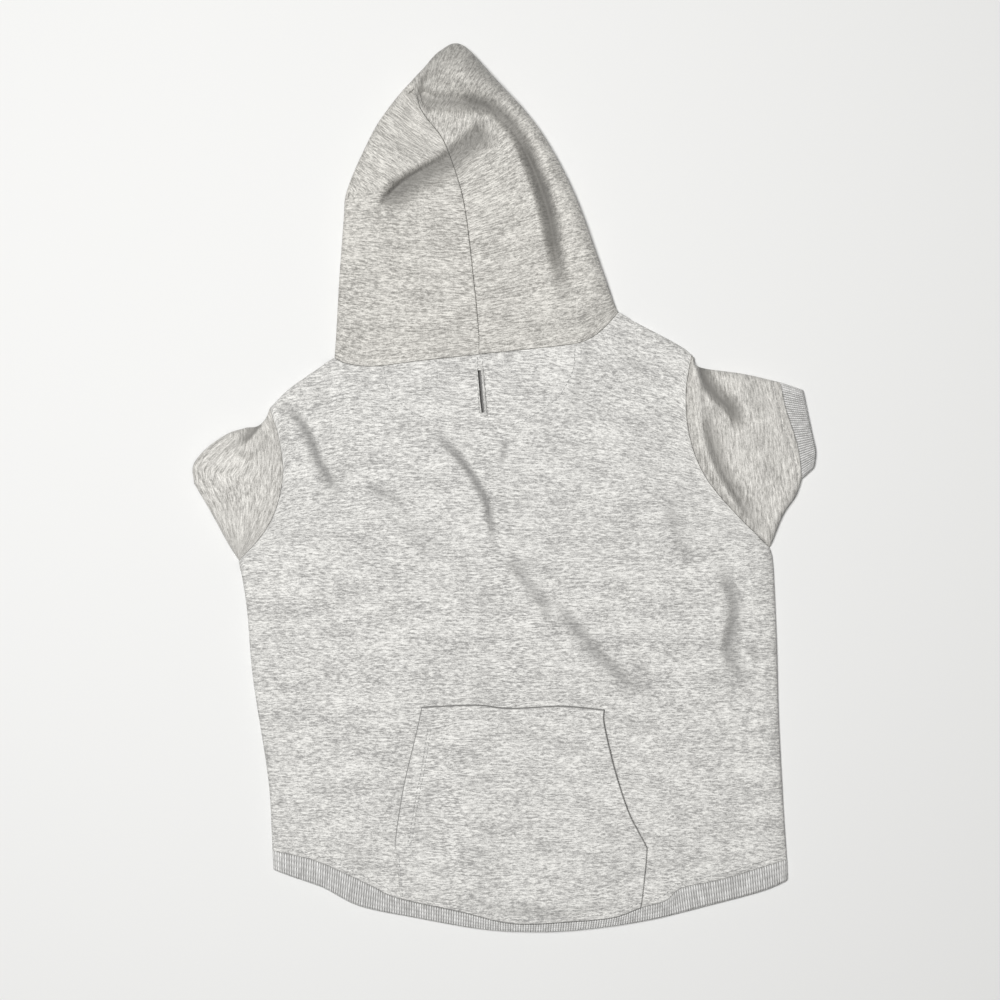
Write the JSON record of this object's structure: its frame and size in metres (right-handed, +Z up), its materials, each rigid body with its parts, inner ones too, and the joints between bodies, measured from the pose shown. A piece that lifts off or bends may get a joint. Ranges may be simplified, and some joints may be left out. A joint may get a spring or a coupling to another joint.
{
  "type": "pet hoodie",
  "caption": "Fleece pullover for a small dog, laid flat with its back up: hood spread above, one sleeve out, one end tucked under, ribbed hem and cuffs, patch pocket and leash slit.",
  "frame": {"origin": "middle of the garment's bounding box, on the surface that it lies on", "axes": "+X towards the sleeve that lies out, +Y from the hem to the tip of the hood, +Z up from the surface"},
  "size_m": [0.3751, 0.5326, 0.0198],
  "materials": {
    "heather_fleece": "marled, soft nap",
    "hood_fleece": "marled, soft nap",
    "heather_rib": "marled rib knit"
  },
  "bodies": {
    "root": {"back_panel": "heather_fleece", "belly_panel": "heather_fleece", "pocket": "heather_fleece", "leash_slit_binding": "heather_fleece", "hood_left": "hood_fleece", "hood_right": "hood_fleece", "sleeve_right": "heather_fleece", "sleeve_left": "heather_fleece", "sleeve_left_layers": "heather_fleece", "cuff_right": "heather_rib", "cuff_left": "heather_rib", "hem_rib": "heather_rib"}
  },
  "joints": []
}
